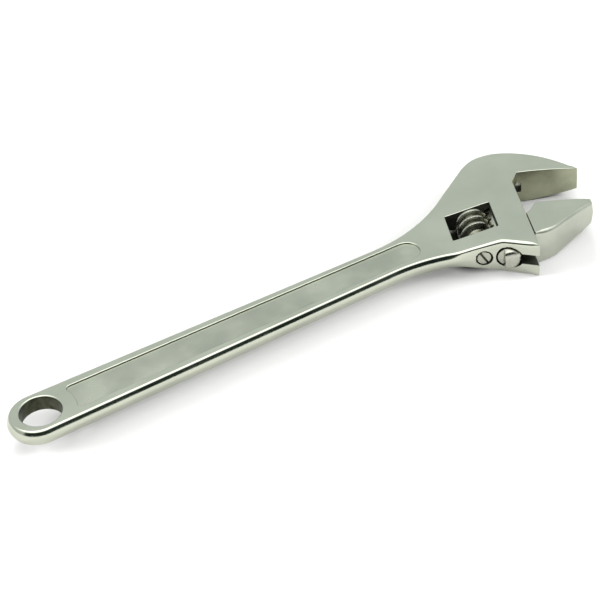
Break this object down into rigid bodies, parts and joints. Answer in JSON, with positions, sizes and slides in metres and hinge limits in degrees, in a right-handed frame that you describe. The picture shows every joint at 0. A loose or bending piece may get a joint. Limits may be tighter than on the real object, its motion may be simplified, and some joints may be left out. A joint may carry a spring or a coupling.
{
  "type": "adjustable wrench",
  "caption": "Adjustable wrench, 300 mm class, bright nickel-plated steel, with a worm-driven sliding jaw set 22.5 degrees off the handle and a hang hole.",
  "frame": {"origin": "centre of the hang hole, on the mid-plane between the two flat sides", "axes": "+X along the handle to the jaws, +Z square to the flat sides, +Y towards the fixed jaw"},
  "size_m": [0.3084, 0.0775, 0.0184],
  "materials": {
    "plated_steel": "bright nickel-chrome plate over polished forging",
    "machined_steel": "plated over machined surfaces",
    "spring_steel": "drawn spring wire"
  },
  "bodies": {
    "wrench": {"handle_body": "plated_steel", "worm_pin_screw": "machined_steel", "worm_spring": "spring_steel"},
    "worm": {"adjusting_worm": "machined_steel"},
    "jaw": {"movable_jaw": "plated_steel"}
  },
  "joints": [
    {"name": "worm_spin", "type": "hinge", "parent": "wrench", "child": "worm", "pos_m": [0.23078, 0.00796, 0], "axis": [-0.3827, -0.9239, 0], "range_deg": [-624, 1797]},
    {"name": "jaw_slide", "type": "slide", "parent": "wrench", "child": "jaw", "axis": [-0.3827, -0.9239, 0], "range_m": [-0.02594, 0.009]}
  ],
  "couplings": [
    {"joint": "worm_spin", "follows": "jaw_slide", "rad_per_m": -1208.3}
  ]
}
